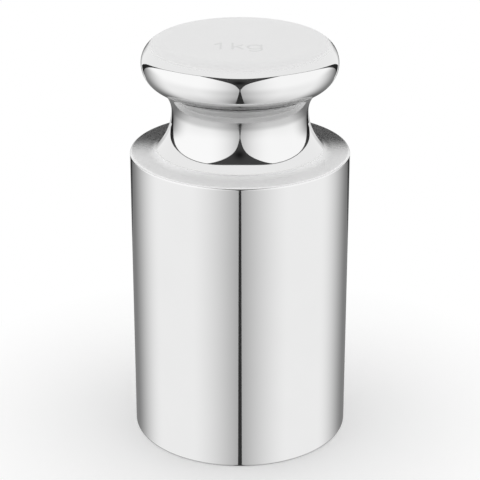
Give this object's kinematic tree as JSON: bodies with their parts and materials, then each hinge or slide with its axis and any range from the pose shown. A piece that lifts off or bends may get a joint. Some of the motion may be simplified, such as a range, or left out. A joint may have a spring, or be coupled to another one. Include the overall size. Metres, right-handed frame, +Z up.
{
  "type": "calibration weight",
  "caption": "Knob weight turned from one bar of polished stainless steel: a plain cylindrical body with a waisted neck and a round lifting knob, for checking balances.",
  "frame": {"origin": "centre of the flat base, on the surface that the weight stands on", "axes": "+Z up along the weight's axis of revolution, from the base to the knob; X and Y are alike"},
  "size_m": [0.0458, 0.0458, 0.0866],
  "materials": {
    "polished_steel": "mirror-polished stainless steel with faint polishing marks round the axis"
  },
  "bodies": {
    "root": {"weight": "polished_steel"}
  },
  "joints": []
}
